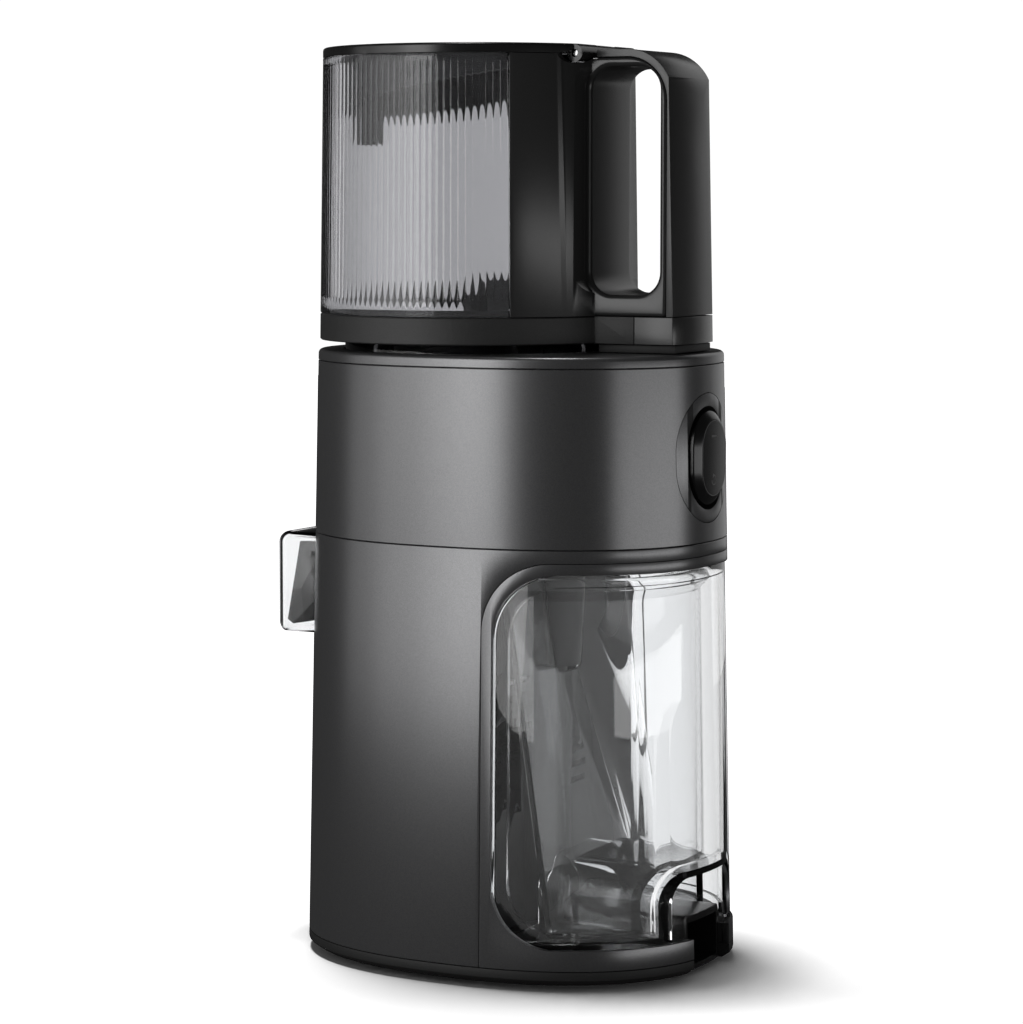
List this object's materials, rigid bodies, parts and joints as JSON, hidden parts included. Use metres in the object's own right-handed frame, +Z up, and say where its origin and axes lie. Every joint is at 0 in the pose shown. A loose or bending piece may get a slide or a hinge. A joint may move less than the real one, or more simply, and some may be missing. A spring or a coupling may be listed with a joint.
{
  "type": "slow juicer",
  "caption": "Slim upright juicer with a smoked ribbed hopper, lid and loop handle, oval motor base, juice spout and clear pull-out pulp container.",
  "frame": {"origin": "on the floor under the middle of the whole juicer", "axes": "+Z up, -Y towards the juice spout (front), +Y towards the handle, switch and mains inlet (rear)"},
  "size_m": [0.1522, 0.2114, 0.4046],
  "materials": {
    "gunmetal_shell": "fine metallic satin",
    "black_textured": "fine texture",
    "black_gloss": "satin gloss",
    "smoked_clear": "smoked, see-through",
    "clear": "polished, see-through",
    "soft_rubber": "matte",
    "zinc_plate": "plated",
    "steel": "satin",
    "nylon": "natural",
    "circuit_board": "lacquered"
  },
  "bodies": {
    "base": {"foot_front_left": "soft_rubber", "foot_front_right": "soft_rubber", "foot_rear_left": "soft_rubber", "foot_rear_right": "soft_rubber", "base_screw_1": "steel", "base_screw_2": "steel", "base_screw_3": "steel", "base_screw_4": "steel", "bottom_plate": "black_textured", "lower_housing": "gunmetal_shell", "window_frame": "gunmetal_shell", "bay_floor": "black_textured", "bay_wall": "black_textured", "chamber_deck": "black_textured", "upper_housing": "gunmetal_shell", "top_ring": "gunmetal_shell", "inlet_housing": "black_gloss", "power_inlet": "black_textured", "switch_bezel": "black_textured", "juice_spout": "clear", "control_board": "circuit_board", "motor_can": "zinc_plate", "gearbox_housing": "black_textured", "gearbox_lid": "zinc_plate"},
    "power_switch": {"power_rocker": "black_gloss"},
    "drip_stop": {"drip_stop_flap": "black_textured"},
    "rotor": {"motor_rotor": "steel", "cooling_fan": "nylon", "motor_pinion": "steel"},
    "idler": {"compound_gear": "nylon"},
    "drive": {"output_gear": "steel", "drive_shaft": "steel"},
    "bowl_unit": {"juicing_bowl": "smoked_clear", "bowl_flange": "black_textured", "flange_rear_block": "black_gloss", "lock_ledge": "black_textured", "bowl_seal": "soft_rubber", "pulp_chute": "black_textured", "strainer": "steel"},
    "auger_unit": {"auger": "black_textured", "cutting_wing": "black_textured"},
    "hopper_unit": {"hopper_window": "smoked_clear", "hopper_shell": "black_gloss", "handle_cover": "black_gloss", "hopper_floor": "black_textured", "lid_hinge_pin": "steel"},
    "lid_unit": {"lid": "black_gloss", "lid_skirt": "black_textured"},
    "pulp_container": {"container_cover": "clear", "pulp_cup": "clear"}
  },
  "joints": [
    {"name": "rocker_tilt", "type": "hinge", "parent": "base", "child": "power_switch", "pos_m": [0, 0.09594, 0.226], "axis": [1, 0, 0], "range_deg": [-8, 8], "stiffness_Nm_per_rad": 0.4},
    {"name": "drip_stop_swing", "type": "hinge", "parent": "base", "child": "drip_stop", "pos_m": [0, -0.08918, 0.1759], "axis": [1, 0, 0], "range_deg": [0, 12]},
    {"name": "rotor_spin", "type": "hinge", "parent": "base", "child": "rotor", "pos_m": [0, 0.00382, 0], "axis": [0, 0, 1], "continuous": true},
    {"name": "idler_spin", "type": "hinge", "parent": "base", "child": "idler", "pos_m": [0.02356, -0.01475, 0], "axis": [0, 0, 1], "continuous": true},
    {"name": "drive_spin", "type": "hinge", "parent": "base", "child": "drive", "pos_m": [0, -0.01018, 0], "axis": [0, 0, 1], "continuous": true},
    {"name": "bowl_lift", "type": "slide", "parent": "base", "child": "bowl_unit", "axis": [0, 0, 1], "range_m": [0, 0.12]},
    {"name": "auger_spin", "type": "hinge", "parent": "bowl_unit", "child": "auger_unit", "pos_m": [0, -0.01018, 0], "axis": [0, 0, 1], "continuous": true},
    {"name": "hopper_lift", "type": "slide", "parent": "bowl_unit", "child": "hopper_unit", "axis": [0, 0, 1], "range_m": [0, 0.1]},
    {"name": "lid_hinge", "type": "hinge", "parent": "hopper_unit", "child": "lid_unit", "pos_m": [0, 0.05232, 0.3997], "axis": [-1, 0, 0], "range_deg": [0, 95]},
    {"name": "container_slide", "type": "slide", "parent": "base", "child": "pulp_container", "axis": [0, 1, 0], "range_m": [0, 0.11]}
  ],
  "couplings": [
    {"joint": "idler_spin", "follows": "rotor_spin", "ratio": -0.2},
    {"joint": "drive_spin", "follows": "rotor_spin", "ratio": 0.066667},
    {"joint": "auger_spin", "follows": "rotor_spin", "ratio": 0.066667}
  ]
}
